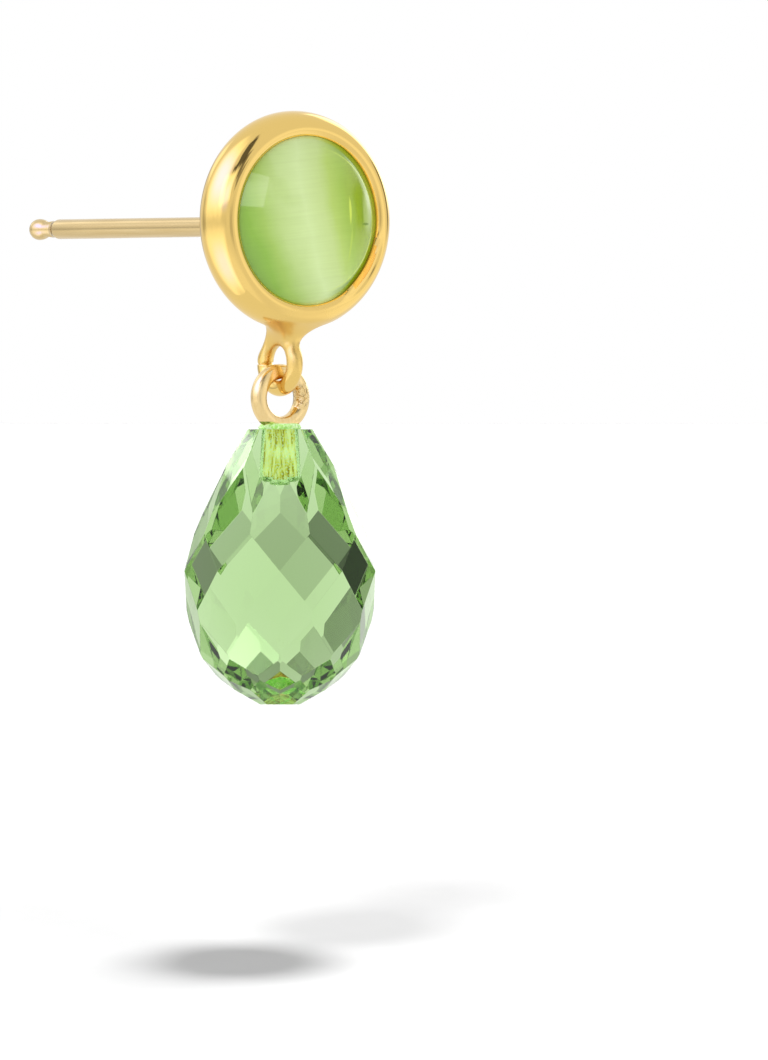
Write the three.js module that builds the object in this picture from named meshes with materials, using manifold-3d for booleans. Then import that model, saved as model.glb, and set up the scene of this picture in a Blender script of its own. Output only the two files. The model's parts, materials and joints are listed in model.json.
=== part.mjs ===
// A stud earring with a hanging drop, as four separate solids.
// Millimetres, +Z up. The post runs along +Y, the stone faces -Y, and X is the width.
// The origin is on the post's axis at the flat back of the bezel, where the ear lobe sits.

import * as THREE from 'three';
import { mergeVertices } from 'three/addons/utils/BufferGeometryUtils.js';
import { ConvexGeometry } from 'three/addons/geometries/ConvexGeometry.js';
import Module from 'manifold-3d';

const wasm = await Module();
wasm.setup();

// Driving dimensions, in millimetres

const bezel = {
  outerRadius: 4.025,
  thickness: 1.95, // from the flat back to the crest of the rim
  lift: 0.18, // the bezel's centre stands this far above the post's axis
  crestRadius: 3.36, // where the front of the rim is highest
  apertureRadius: 3.075, // inner edge of the lip
  apertureDepth: 0.13, // the lip's edge lies this far behind the crest
  floor: 0.45, // thickness of the closed back
  segments: 64,
};

const stone = {
  radius: 3.5,
  domeHeight: 1.2, // how far the dome stands out of the aperture
  clearance: 0.05, // between the glass and the metal around it
};

const post = {
  radius: 0.365,
  shoulder: 13.89, // end of the straight part
  shoulderTaper: 0.15, // length of the taper that ends the straight part
  shoulderDrop: 0.02, // how much the taper takes off the radius
  neckRadius: 0.29,
  neck: 14.12,
  neckHalfWidth: 0.06,
  ballRadius: 0.39,
  ballCentre: 15.07,
  ballLength: 0.5, // from the ball's widest place back towards the neck
  filletRadius: 0.25, // solder around the foot of the post
  segments: 24,
};

const loop = {
  wireRadius: 0.3,
  ringRadius: 0.915, // to the middle of the wire
  y: -0.11,
  z: -5.015,
};

const ringSegments = { round: 40, section: 14 }; // of the loop and of the eye

// Half widths across the loop and along it, where the solder leaves the wire and where it meets the rim.
const solder = {
  start: { across: 0.36, along: 0.62, at: new THREE.Vector3(0, -0.24, -4.24) },
  end: { across: 0.9, along: 0.56, at: new THREE.Vector3(0, -0.66, -3.4) },
  steps: 6,
  segments: 24,
};

const eye = {
  wireRadius: 0.2875,
  ringRadius: 0.9625,
  play: 0.03, // between the eye and the loop's wire that it hangs on
  pegRadius: 0.43,
  pegLength: 2.08, // below the top of the drop
  pegEdge: 0.08, // rounding at both ends of the peg
  pegSegments: 24,
};

const drop = {
  height: 10.04,
  sunk: 0.1, // the eye's wire reaches this far into the mouth of the hole
  holeRadius: 0.54,
  holeDepth: 2.32,
  holeSegments: 32,
  facetsRound: 9,
  facing: 36, // degrees from the front, towards -X, that the first column of flats looks
  beltDepth: 5.172,
  beltRadius: 3.54,
};

// The drop is cut in rows of flats. Each row gives the depth below the top at which its flats lie
// the given distance from the axis, and how fast they lean out with depth. Rows that are turned
// have their flats between those of the rows above and below.
const halfStep = Math.PI / drop.facetsRound;
const facetRows = [
  { turned: true, depth: 0, radius: 1.124, lean: 0.567 },
  { turned: false, depth: drop.beltDepth, radius: drop.beltRadius, lean: 0.402 },
  { turned: true, depth: drop.beltDepth, radius: drop.beltRadius * Math.cos(halfStep), lean: 0.1 },
  { turned: false, depth: drop.beltDepth, radius: drop.beltRadius, lean: -0.195 },
  { turned: true, depth: 7.026, radius: 3.384, lean: -0.517 },
  { turned: false, depth: 8.377, radius: 2.858, lean: -1.037 },
  { turned: true, depth: 9.125, radius: 2.227, lean: -1.68 },
];

const gold = { color: '#e6c36c', metalness: 1, roughness: 0.18 };
const catsEyeGlass = { color: '#a6cd78', metalness: 0, roughness: 0.12 };
const clearGreenGlass = { color: '#9fca7c', metalness: 0, roughness: 0.03 };

// Solids

// Turns a three.js geometry into a solid whose faces point outwards.
function solidOf(geometry) {
  const bare = geometry.clone();
  bare.deleteAttribute('normal');
  bare.deleteAttribute('uv');
  const merged = mergeVertices(bare, 1e-5);
  const at = merged.attributes.position;
  const corner = (index) => new THREE.Vector3().fromBufferAttribute(at, index);
  const triangles = [];
  let volume = 0;
  for (let i = 0; i < merged.index.count; i += 3) {
    const [a, b, c] = [0, 1, 2].map((k) => merged.index.getX(i + k));
    if (a === b || b === c || c === a) continue;
    triangles.push([a, b, c]);
    volume += corner(a).dot(corner(b).cross(corner(c)));
  }
  const outward = volume > 0 ? triangles : triangles.map(([a, b, c]) => [a, c, b]);
  const mesh = new wasm.Mesh({
    numProp: 3,
    vertProperties: new Float32Array(at.array),
    triVerts: Uint32Array.from(outward.flat()),
  });
  return new wasm.Manifold(mesh);
}

function geometryOf(solid) {
  const mesh = solid.getMesh();
  const geometry = new THREE.BufferGeometry();
  geometry.setAttribute('position', new THREE.BufferAttribute(mesh.vertProperties, 3));
  geometry.setIndex(new THREE.BufferAttribute(mesh.triVerts, 1));
  geometry.computeVertexNormals();
  return geometry;
}

function namedMesh(name, geometry, finish) {
  const mesh = new THREE.Mesh(geometry, new THREE.MeshStandardMaterial(finish));
  mesh.name = name;
  return mesh;
}

// Points of an ellipse's arc from one angle to another, both ends included. Angles in degrees.
function arc(centre, radii, from, to, steps) {
  const points = [];
  for (let i = 0; i <= steps; i += 1) {
    const angle = THREE.MathUtils.degToRad(from + ((to - from) * i) / steps);
    points.push(
      new THREE.Vector2(centre[0] + radii[0] * Math.cos(angle), centre[1] + radii[1] * Math.sin(angle)),
    );
  }
  return points;
}

// A profile of (radius, y) points turned about the Y axis.
function turned(profile, segments) {
  return new THREE.LatheGeometry(profile, segments);
}

// Bezel and stone share the bezel's own axis, which is lifted above the post's.

const apertureY = -(bezel.thickness - bezel.apertureDepth);
const domeApexY = apertureY - stone.domeHeight;
const domeRadius =
  (bezel.apertureRadius ** 2 + stone.domeHeight ** 2) / (2 * stone.domeHeight);
const domeCentreY = domeApexY + domeRadius;

// The dome's angle from the apex at which it reaches the given distance from the axis.
const domeAngle = (radius) => THREE.MathUtils.radToDeg(Math.asin(radius / domeRadius));

function domeArc(offset, outTo, steps) {
  const radii = [domeRadius + offset, domeRadius + offset];
  const edge = domeAngle(outTo);
  return arc([0, domeCentreY], radii, -90, -90 + edge, steps);
}

function bezelOuterProfile() {
  const round = bezel.thickness / 2;
  const back = arc([bezel.outerRadius - round, -round], [round, round], 90, 0, 8);
  const crestReach = bezel.outerRadius - bezel.crestRadius;
  const front = arc([bezel.crestRadius, -round], [crestReach, round], 0, -90, 8).slice(1);
  const inner = arc(
    [bezel.crestRadius, apertureY],
    [bezel.crestRadius - bezel.apertureRadius, bezel.apertureDepth],
    -90,
    -180,
    4,
  ).slice(1);
  return [
    new THREE.Vector2(0, 0),
    ...back,
    ...front,
    ...inner,
    new THREE.Vector2(0, apertureY),
  ];
}

// The pocket for the stone follows the dome under the lip and runs out through the aperture.
function pocketProfile() {
  const wall = stone.radius + stone.clearance;
  const underLip = domeArc(stone.clearance, stone.radius, 12);
  return [
    ...underLip,
    new THREE.Vector2(wall, underLip.at(-1).y + stone.clearance),
    new THREE.Vector2(wall, -bezel.floor),
    new THREE.Vector2(0, -bezel.floor),
  ];
}

function cabochonProfile() {
  const base = -bezel.floor - stone.clearance;
  return [
    ...domeArc(0, stone.radius, 12),
    new THREE.Vector2(stone.radius, base),
    new THREE.Vector2(0, base),
  ];
}

function postProfile() {
  const inside = -bezel.floor / 2; // the foot starts inside the closed back
  const footRadius = post.radius + post.filletRadius;
  const fillet = arc([footRadius, post.filletRadius], [post.filletRadius, post.filletRadius], 270, 180, 4);
  const ball = arc([0, post.ballCentre], [post.ballRadius, post.ballRadius], 0, 90, 6);
  const ballBack = arc([0, post.ballCentre], [post.ballRadius, post.ballLength], -60, 0, 4);
  const shoulderStart = post.shoulder - post.shoulderTaper;
  const shoulderEnd = post.shoulder - post.shoulderTaper / 3;
  return [
    new THREE.Vector2(0, inside),
    new THREE.Vector2(footRadius, inside),
    ...fillet,
    new THREE.Vector2(post.radius, shoulderStart),
    new THREE.Vector2(post.radius - post.shoulderDrop, shoulderEnd),
    new THREE.Vector2(post.neckRadius, post.neck - post.neckHalfWidth),
    new THREE.Vector2(post.neckRadius, post.neck + post.neckHalfWidth),
    ...ballBack.filter((point) => point.x > post.neckRadius),
    ...ball.slice(1),
  ];
}

// A ring of round wire, in the XY plane.
function wireRing({ ringRadius, wireRadius }) {
  return new THREE.TorusGeometry(ringRadius, wireRadius, ringSegments.section, ringSegments.round);
}

// Solder between the loop and the rim: a trumpet that opens towards the rim.
function solderNeck() {
  const { start, end, steps, segments } = solder;
  const direction = end.at.clone().sub(start.at);
  const length = direction.length();
  const neck = new THREE.CylinderGeometry(1, 1, length, segments, steps);
  neck.translate(0, length / 2, 0);
  const at = neck.attributes.position;
  for (let i = 0; i < at.count; i += 1) {
    const opening = (at.getY(i) / length) ** 2;
    at.setX(i, at.getX(i) * THREE.MathUtils.lerp(start.across, end.across, opening));
    at.setZ(i, at.getZ(i) * THREE.MathUtils.lerp(start.along, end.along, opening));
  }
  const up = new THREE.Vector3(0, 1, 0);
  neck.applyQuaternion(new THREE.Quaternion().setFromUnitVectors(up, direction.normalize()));
  neck.translate(start.at.x, start.at.y, start.at.z);
  return neck;
}

function settingGeometry() {
  const rim = turned(bezelOuterProfile(), bezel.segments);
  rim.translate(0, 0, bezel.lift);
  const pocket = turned(pocketProfile(), bezel.segments);
  pocket.translate(0, 0, bezel.lift);
  const pin = turned(postProfile(), post.segments);
  const ring = wireRing(loop);
  ring.rotateY(Math.PI / 2);
  ring.translate(0, loop.y, loop.z);
  const metal = solidOf(rim).add(solidOf(solderNeck())).add(solidOf(ring)).add(solidOf(pin));
  return geometryOf(metal.subtract(solidOf(pocket)));
}

function cabochonGeometry() {
  const glass = turned(cabochonProfile(), bezel.segments);
  glass.translate(0, 0, bezel.lift);
  return geometryOf(solidOf(glass));
}

// What hangs is measured from the pivot, the middle of the loop's wire at its lowest place.

const pivot = new THREE.Vector3(0, loop.y, loop.z - loop.ringRadius);
const eyeCentreZ = loop.wireRadius + eye.play + eye.wireRadius - eye.ringRadius;
const dropTopZ = eyeCentreZ - eye.ringRadius - eye.wireRadius + drop.sunk;

function eyePinGeometry() {
  const ring = wireRing(eye);
  ring.rotateX(Math.PI / 2);
  ring.translate(0, 0, eyeCentreZ);
  const { pegRadius, pegLength, pegEdge } = eye;
  const profile = [
    new THREE.Vector2(0, -pegLength),
    new THREE.Vector2(pegRadius - pegEdge, -pegLength),
    new THREE.Vector2(pegRadius, pegEdge - pegLength),
    new THREE.Vector2(pegRadius, -pegEdge),
    new THREE.Vector2(pegRadius - pegEdge, 0),
    new THREE.Vector2(0, 0),
  ];
  const peg = turned(profile, eye.pegSegments);
  peg.rotateX(Math.PI / 2);
  peg.translate(0, 0, dropTopZ);
  return geometryOf(solidOf(ring).add(solidOf(peg)));
}

// The flats of a row meet along an edge that runs from the row above to the row below.
function facetCorners() {
  const flat = (row, depth) => row.radius + row.lean * (depth - row.depth);
  const edge = (row, depth) => flat(row, depth) / Math.cos(halfStep);
  const meet = (row, other) => {
    const rowStart = edge(row, 0);
    const rowRise = edge(row, 1) - rowStart;
    const otherStart = flat(other, 0);
    const otherRise = flat(other, 1) - otherStart;
    return (otherStart - rowStart) / (rowRise - otherRise);
  };
  const corners = [];
  facetRows.forEach((row, i) => {
    const upper = i === 0 ? 0 : meet(row, facetRows[i - 1]);
    const lower = i === facetRows.length - 1 ? drop.height : meet(row, facetRows[i + 1]);
    const depths = lower - upper < 0.01 ? [upper] : [upper, lower];
    for (let k = 0; k < drop.facetsRound; k += 1) {
      const column = 2 * k + (row.turned ? 0 : 1);
      const turn = THREE.MathUtils.degToRad(drop.facing) + column * halfStep;
      for (const depth of depths) {
        const reach = edge(row, depth);
        corners.push(
          new THREE.Vector3(-reach * Math.sin(turn), -reach * Math.cos(turn), -depth),
        );
      }
    }
  });
  return corners;
}

function briolette() {
  const body = new ConvexGeometry(facetCorners());
  const above = 1; // the drill starts above the top
  const drill = new THREE.CylinderGeometry(
    drop.holeRadius,
    drop.holeRadius,
    drop.holeDepth + above,
    drop.holeSegments,
  );
  drill.rotateX(Math.PI / 2);
  drill.translate(0, 0, (above - drop.holeDepth) / 2);
  const glass = geometryOf(solidOf(body).subtract(solidOf(drill)));
  glass.translate(0, 0, dropTopZ);
  return glass;
}

// The assembly

const earring = new THREE.Group();
earring.add(namedMesh('setting', settingGeometry(), gold));
earring.add(namedMesh('cabochon', cabochonGeometry(), catsEyeGlass));

const hanging = new THREE.Group();
hanging.position.copy(pivot);
hanging.add(namedMesh('eye_pin', eyePinGeometry(), gold));
hanging.add(namedMesh('briolette', briolette(), clearGreenGlass));
earring.add(hanging);

export default earring;
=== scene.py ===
# A gilt stud earring with a cat's-eye cabochon and a faceted glass drop.
# Metres, +Z up. The post runs along +Y and the stone faces -Y.

import json
import math

import bmesh
import bpy
from mathutils import Matrix, Vector


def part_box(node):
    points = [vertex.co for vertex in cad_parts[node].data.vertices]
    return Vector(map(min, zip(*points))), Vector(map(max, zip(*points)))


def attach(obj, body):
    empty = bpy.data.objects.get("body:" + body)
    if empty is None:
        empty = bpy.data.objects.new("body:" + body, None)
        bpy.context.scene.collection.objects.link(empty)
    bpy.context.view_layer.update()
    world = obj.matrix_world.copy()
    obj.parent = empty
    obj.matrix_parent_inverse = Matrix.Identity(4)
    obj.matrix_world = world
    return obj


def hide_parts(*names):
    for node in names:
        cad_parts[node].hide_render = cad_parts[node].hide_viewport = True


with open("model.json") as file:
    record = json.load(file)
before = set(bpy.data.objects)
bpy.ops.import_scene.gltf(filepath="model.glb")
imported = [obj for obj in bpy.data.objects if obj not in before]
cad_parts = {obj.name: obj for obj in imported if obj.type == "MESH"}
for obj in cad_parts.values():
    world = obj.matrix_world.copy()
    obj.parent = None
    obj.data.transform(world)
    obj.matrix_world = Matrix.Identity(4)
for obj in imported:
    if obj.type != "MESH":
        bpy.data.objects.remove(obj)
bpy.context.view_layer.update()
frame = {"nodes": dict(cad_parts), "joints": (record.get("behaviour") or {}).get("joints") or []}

mm = 0.001
scene = bpy.context.scene

settingLow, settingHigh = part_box("setting")
stoneLow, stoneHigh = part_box("cabochon")
eyeLow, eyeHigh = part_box("eye_pin")
dropLow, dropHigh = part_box("briolette")
pivot = Vector(frame["joints"][0]["pos_m"])
print("frame loaded, pivot in mm", [round(value / mm, 3) for value in pivot])


def linearColour(hexColour):
    # sRGB hex to the linear values that shaders take
    channels = [int(hexColour[i:i + 2], 16) / 255 for i in (1, 3, 5)]
    linear = [c / 12.92 if c <= 0.04045 else ((c + 0.055) / 1.055) ** 2.4 for c in channels]
    return (*linear, 1.0)


def addNode(tree, kind, inputs=None, stops=None, **settings):
    # adds a node, sets its properties, then sets or links its inputs: text is a colour, and a node is
    # linked by its first output in use. Stops are a ramp's (place, colour).
    node = tree.nodes.new("ShaderNode" + kind)
    for name, value in settings.items():
        setattr(node, name, value)
    for name, value in (inputs or {}).items():
        if isinstance(value, bpy.types.Node):
            value = next(output for output in value.outputs if output.enabled)
        if isinstance(value, bpy.types.NodeSocket):
            tree.links.new(value, node.inputs[name])
        else:
            node.inputs[name].default_value = linearColour(value) if isinstance(value, str) else value
    if stops:
        points = node.color_ramp.elements
        while len(points) < len(stops):
            points.new(1.0)
        for point, (place, colour) in zip(points, stops):
            point.position = place
            point.color = linearColour(colour)
    return node


# settings that several nodes share
multiplyAdd = {"operation": "MULTIPLY_ADD"}
smoothStep = {"interpolation_type": "SMOOTHSTEP"}


def between(least, most, start=0.0, end=1.0):
    # the inputs that map a range onto another
    return {"From Min": least, "From Max": most, "To Min": start, "To Max": end}


def fadeFrom(tree, place, middle, span, start, end):
    # a value that goes smoothly from start to end between two distances from the middle, in mm
    ends = between(span[0] * mm, span[1] * mm, start, end)
    distance = addNode(tree, "VectorMath", {0: place, 1: middle}, operation="DISTANCE")
    return addNode(tree, "MapRange", {"Value": distance, **ends}, **smoothStep)


def softWindow(tree, fromMiddle, inner, outer):
    # 1 within the inner half sizes, 0 outside the outer ones, and smooth between them
    distance = addNode(tree, "VectorMath", {0: fromMiddle}, operation="ABSOLUTE")
    ends = {7: inner, 8: outer, 9: (1, 1, 1), 10: (0, 0, 0)}
    window = addNode(tree, "MapRange", {6: distance, **ends}, data_type="FLOAT_VECTOR", **smoothStep)
    sides = addNode(tree, "SeparateXYZ", {0: window}).outputs
    return addNode(tree, "Math", {0: sides[0], 1: sides[1]}, operation="MULTIPLY")


def newMaterial(name):
    # an empty material, its tree, and the place on the piece in metres
    material = bpy.data.materials.new(name)
    material.use_nodes = True
    tree = material.node_tree
    tree.nodes.clear()
    return material, tree, addNode(tree, "TexCoord").outputs["Object"]


def addItem(name, data):
    item = bpy.data.objects.new(name, data)
    scene.collection.objects.link(item)
    return item


def addMesh(name, bm, materials):
    mesh = bpy.data.meshes.new(name)
    bm.to_mesh(mesh)
    bm.free()
    for material in materials:
        mesh.materials.append(material)
    return addItem(name, mesh)


def hideFrom(item, *rays):
    for ray in rays:
        setattr(item, "visible_" + ray, False)


def addPiece(name, bm, materials, body, node, lit):
    # makes the object, at the origin, and ties it to the frame and to the soft boxes that light it
    piece = addMesh(name, bm, materials)
    boxReceivers[lit].objects.link(piece)
    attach(piece, body)
    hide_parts(node)
    return piece


def smoothSurface(piece):
    modifier = piece.modifiers.new("Smooth", "SUBSURF")
    modifier.levels = modifier.render_levels = 2


def shadeSmooth(bm):
    bmesh.ops.recalc_face_normals(bm, faces=bm.faces)
    for face in bm.faces:
        face.smooth = True


def arc(centre, radii, start, end, steps):
    # points of an ellipse's arc, both ends included; angles in degrees
    angles = [math.radians(start + (end - start) * i / steps) for i in range(steps + 1)]
    return [(centre[0] + radii[0] * math.cos(a), centre[1] + radii[1] * math.sin(a)) for a in angles]


def unevenness(turn, waves):
    # what a few waves round a ring add up to; each is (count, phase, height)
    return sum(height * math.sin(count * turn + phase) for count, phase, height in waves)


def spinCorners(bm, corners, edges, centre, axis, steps):
    bmesh.ops.spin(
        bm, geom=corners + edges, cent=centre, axis=axis, angle=math.tau, steps=steps, use_merge=True
    )
    bmesh.ops.remove_doubles(bm, verts=bm.verts, dist=mm * 1e-4)


def spinProfile(bm, profile, centre, axis, steps):
    # turns an open line of (radius, along) points, in mm, about an axis through the centre
    start, axis = Vector((1, 0, 0)), Vector(axis)
    corners = [bm.verts.new(centre + (start * radius + axis * along) * mm) for radius, along in profile]
    edges = [bm.edges.new(pair) for pair in zip(corners, corners[1:])]
    spinCorners(bm, corners, edges, centre, axis, steps)


def spinRing(bm, centre, axis, ringRadius, section, steps):
    # sweeps a closed section of (outward, sideways) points, in mm, round the axis from the top
    start, axis = Vector((0, 0, 1)), Vector(axis)
    corners = [
        bm.verts.new(centre + (start * (ringRadius + outward) + axis * sideways) * mm)
        for outward, sideways in section
    ]
    edges = [bm.edges.new((corners[i - 1], corners[i])) for i in range(len(corners))]
    spinCorners(bm, corners, edges, centre, axis, steps)


def openEdges(bm):
    return [edge for edge in bm.edges if edge.is_boundary]


def ofKind(items, kind):
    return [item for item in items if isinstance(item, kind)]


def cageRadius(radius, sides):
    # a cage is drawn a little larger, because smoothing draws it in
    return radius / ((2 + math.cos(math.tau / sides)) / 3)


cameraView = {
    "azimuth": -36.0,  # degrees from the front, towards -X
    "elevation": 0.0,
    "distance": 1000.0,  # mm
    "viewHeight": 38.69,  # mm, at the object
    "aimRight": 3.858,  # mm from the origin to the middle of the view
    "aimDown": 11.10,
    "sensor": 36.0,  # mm
    "clip": (0.01, 20.0),  # metres
}

azimuth = math.radians(cameraView["azimuth"])
elevation = math.radians(cameraView["elevation"])
towardsCamera = Vector(
    (math.sin(azimuth) * math.cos(elevation), -math.cos(azimuth) * math.cos(elevation), math.sin(elevation))
)
viewRight = Vector((math.cos(azimuth), math.sin(azimuth), 0))
viewUp = towardsCamera.cross(viewRight)


def makeCamera():
    data = bpy.data.cameras.new("camera")
    data.sensor_fit = "VERTICAL"
    data.sensor_height = cameraView["sensor"]
    data.lens = data.sensor_height * cameraView["distance"] / cameraView["viewHeight"]
    data.clip_start, data.clip_end = cameraView["clip"]
    camera = addItem("camera", data)
    aim = viewRight * cameraView["aimRight"] - viewUp * cameraView["aimDown"]
    place = (aim + towardsCamera * cameraView["distance"]) * mm
    turn = Matrix((viewRight, viewUp, towardsCamera)).transposed().to_4x4()
    camera.matrix_world = Matrix.Translation(place) @ turn
    scene.camera = camera


makeCamera()
scene.view_settings.view_transform = "Standard"
scene.cycles.use_denoising = True
scene.cycles.max_bounces = 24
scene.cycles.transmission_bounces = 24
scene.cycles.glossy_bounces = 12
scene.cycles.sample_clamp_indirect = 8

floorSizes = {
    "below": 9.4,  # mm under the drop
    "reach": 110.0,
    "rise": 10.5,  # degrees, away from the camera
    "grey": "#7B7B7B",
    "fleck": "#7D7D7D",
    "fibres": 900.0,  # in a metre
}

# light for the floor alone: how far it travels right and away for 1 down, its softness and strength
floorSuns = {"overhead_sun": (-0.11, 0.0, 13.0, 9.8), "front_sun": (0.22, 0.52, 13.0, 4.3)}


def matPaper():
    # matt background paper: even, without shine, its pulp just uneven enough to be paper
    material, tree, place = newMaterial("matt_background_paper")
    fibres = addNode(tree, "TexNoise", {"Vector": place, "Scale": floorSizes["fibres"]})
    tones = {6: floorSizes["grey"], 7: floorSizes["fleck"]}
    tone = addNode(tree, "Mix", {0: fibres, **tones}, data_type="RGBA")
    surface = addNode(tree, "BsdfDiffuse", {"Color": tone})
    # the sheet slopes, so a low view from the side would see its dull underside: that is left clear
    under = addNode(tree, "NewGeometry").outputs["Backfacing"]
    clear = addNode(tree, "BsdfTransparent")
    sheet = addNode(tree, "MixShader", {0: under, 1: surface, 2: clear})
    addNode(tree, "OutputMaterial", {"Surface": sheet})
    return material


def makeFloor():
    bm = bmesh.new()
    bmesh.ops.create_grid(bm, x_segments=1, y_segments=1, size=floorSizes["reach"] * mm)
    square = Matrix.Rotation(azimuth, 4, "Z")
    tilt = Matrix.Rotation(math.radians(floorSizes["rise"]), 4, viewRight)
    low = Matrix.Translation((0, 0, dropLow.z - floorSizes["below"] * mm))
    bmesh.ops.transform(bm, matrix=low @ tilt @ square, verts=bm.verts)
    floor = addMesh("floor", bm, [matPaper()])
    hideFrom(floor, "glossy", "transmission")
    onlyFloor = bpy.data.collections.new("only_floor")
    onlyFloor.objects.link(floor)
    for name, (right, away, softness, strength) in floorSuns.items():
        data = bpy.data.lights.new(name, "SUN")
        data.angle = math.radians(softness)
        data.energy = strength
        lamp = addItem(name, data)
        travel = viewRight * right - towardsCamera * away - Vector((0, 0, 1))
        lamp.rotation_euler = travel.to_track_quat("-Z", "Y").to_euler()
        hideFrom(lamp, "glossy", "transmission")
        lamp.light_linking.receiver_collection = onlyFloor


# The light tent's wall is evenly white; these are the lighter and darker places in it: degrees to the
# camera's right and up, half the width and height, the soft edge, and how much it adds to the white.
wallPatches = {
    "keyLeft": (-72, 38, 40, 34, 20, 0.6),
    "lowLeft": (-62, -36, 46, 29, 20, 0.5),
    "frontBox": (-20, 26, 30, 13, 6, 0.6),
    "tableEdge": (-80, -1, 78, 4, 8, -0.1),
    "leftEdge": (-113, 5, 11, 11, 8, -0.35),
    "lowFront": (0, -40, 40, 20, 20, 0.15),
    "rightWall": (105, -28, 34, 22, 26, 0.25),
    "cameraSide": (34, -1, 12, 7, 10, -0.3),
    "gap": (9, 52, 17, 17, 6, -0.85),
    "gapTop": (12, 71, 9, 6, 5, -0.6),
    "gapLeft": (-11, 42, 8, 4, 5, -0.9),
    "gapRight": (28, 30, 8, 9, 5, -0.75),
    "gapLow": (38, 17, 9, 4, 4, -0.65),
    "sideRight": (122, 7, 10, 10, 8, -0.72),
    "middleRight": (76, 2, 14, 8, 8, 0.22),
    "backRight": (150, 22, 16, 18, 8, 1.4),
    "backLeftHigh": (-136, 28, 9, 10, 6, 0.5),
    "backLeft": (-160, 4, 7, 9, 6, -0.5),
}

# what stands behind and beside the drop, seen only through its glass; the same six values
behindPatches = {
    "leftDark": (-143, -11, 9, 8, 7, -0.92),
    "leftDim": (-137, 12, 12, 14, 8, -0.6),
    "leftLow": (-159, -18, 9, 9, 7, -0.68),
    "leftMiddle": (-167, -7, 7, 6, 6, -0.25),
    "lowBack": (172, -18, 18, 8, 7, -0.34),
    "rightLow": (134, -8, 18, 10, 7, -0.66),
    "leftHigh": (-156, 24, 6, 7, 6, -0.28),
    "rightBright": (153, 22, 8, 7, 5, 0.25),
    "rightHigh": (140, 42, 24, 9, 9, -0.4),
    "backHigh": (180, 50, 50, 14, 8, -0.7),
    "frontLeft": (-30, 25, 26, 22, 8, -0.4),
    "overhead": (6, 65, 26, 8, 8, -0.7),
    "sparkLow": (114, -28, 14, 14, 8, 0.6),
}

tentCloth = {
    "white": {"wall": 1.0, "behind": 0.92},
    "darkest": {"wall": 0.12, "behind": 0.03},
    "wobble": 3.5,  # degrees
    "folds": 7.0,
}

# soft boxes that light one material each: gold takes the cool ones, which pale its highlights. Degrees
# to the camera's right and up, half the width and height, and the light's own colour and strength.
softBoxes = [
    ("gold", -68, 37, 40, 31, (0.0, 0.12, 3.0)),
    ("gold", -58, -38, 40, 27, (0.0, 0.07, 1.6)),
    ("gold", -18, 20, 30, 16, (0.0, 0.06, 1.5)),
    ("stone", -18, 30, 28, 17, (2.1, 1.95, 2.2)),
    ("drop", -45, -50, 14, 12, (5.0, 5.0, 5.0)),
]
boxDistance = 600.0  # mm
boxSoftness = {"gold": 0.45, "stone": 0.03, "drop": 0.15}  # of the box's half width
boxReceivers = {name: bpy.data.collections.new(name + "_lit") for name in boxSoftness}

cardSizes = {
    "reach": 4.6,  # mm
    "above": 0.28,  # mm, over the drop's table
    "glow": (1.02, 1.02, 1.0),
    "underGlow": 6.5,  # on its underside, in the quarter behind the drop's left shoulder
    "underMiddle": (-2.4, 2.6),  # mm
    "underReach": (1.2, 2.6),
}


def tentGlow(tree, place, patches, side):
    # adds the patches up over an even white
    glow = tentCloth["white"][side]
    for turn, rise, width, height, edge, added in patches.values():
        away = addNode(tree, "VectorMath", {0: place, 1: (turn, rise, 0)}, operation="SUBTRACT")
        nearest = addNode(tree, "VectorMath", {0: away, 1: (180,) * 3, 2: (-180,) * 3}, operation="WRAP")
        soft = edge / 2
        inner, outer = (width - soft, height - soft, 0), (width + soft, height + soft, 1)
        window = softWindow(tree, nearest, inner, outer)
        glow = addNode(tree, "Math", {0: window, 1: added, 2: glow}, **multiplyAdd)
    lit = addNode(tree, "Math", {0: glow, 1: tentCloth["darkest"][side]}, operation="MAXIMUM")
    return addNode(tree, "Background", {"Color": (1, 1, 1, 1), "Strength": lit})


def lightTent():
    world = bpy.data.worlds.new("light_tent")
    world.use_nodes = True
    tree = world.node_tree
    tree.nodes.clear()
    direction = addNode(tree, "TexCoord").outputs["Generated"]
    level = Vector((towardsCamera.x, towardsCamera.y, 0)).normalized()
    rightward, facing, upward = [
        addNode(tree, "VectorMath", {0: direction, 1: axis}, operation="DOT_PRODUCT")
        for axis in (viewRight, level, (0, 0, 1))
    ]
    turn = addNode(tree, "Math", {0: rightward, 1: facing}, operation="ARCTAN2")
    rise = addNode(tree, "Math", {0: upward}, operation="ARCSINE")
    angles = addNode(tree, "CombineXYZ", {0: turn, 1: rise})
    # the wall's cloth isn't stretched flat, so the edges of what shows in it are a little uneven
    cloth = {"Vector": direction, "Scale": tentCloth["folds"], "Detail": 3.0, "Roughness": 0.6}
    folds = addNode(tree, "TexNoise", cloth).outputs["Color"]
    wobble = tentCloth["wobble"]
    shift = addNode(tree, "VectorMath", {0: folds, 1: (2 * wobble,) * 3, 2: (-wobble,) * 3}, **multiplyAdd)
    place = addNode(tree, "VectorMath", {0: angles, 1: (180 / math.pi,) * 3, 2: shift}, **multiplyAdd)
    wall = tentGlow(tree, place, wallPatches, "wall")
    behind = tentGlow(tree, place, behindPatches, "behind")
    backdrop = addNode(tree, "Background", {"Color": (1, 1, 1, 1)})
    ray = addNode(tree, "LightPath").outputs
    tent = addNode(tree, "MixShader", {0: ray["Is Transmission Ray"], 1: wall, 2: behind})
    mixed = addNode(tree, "MixShader", {0: ray["Is Camera Ray"], 1: tent, 2: backdrop})
    addNode(tree, "OutputWorld", {"Surface": mixed})
    scene.world = world


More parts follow.
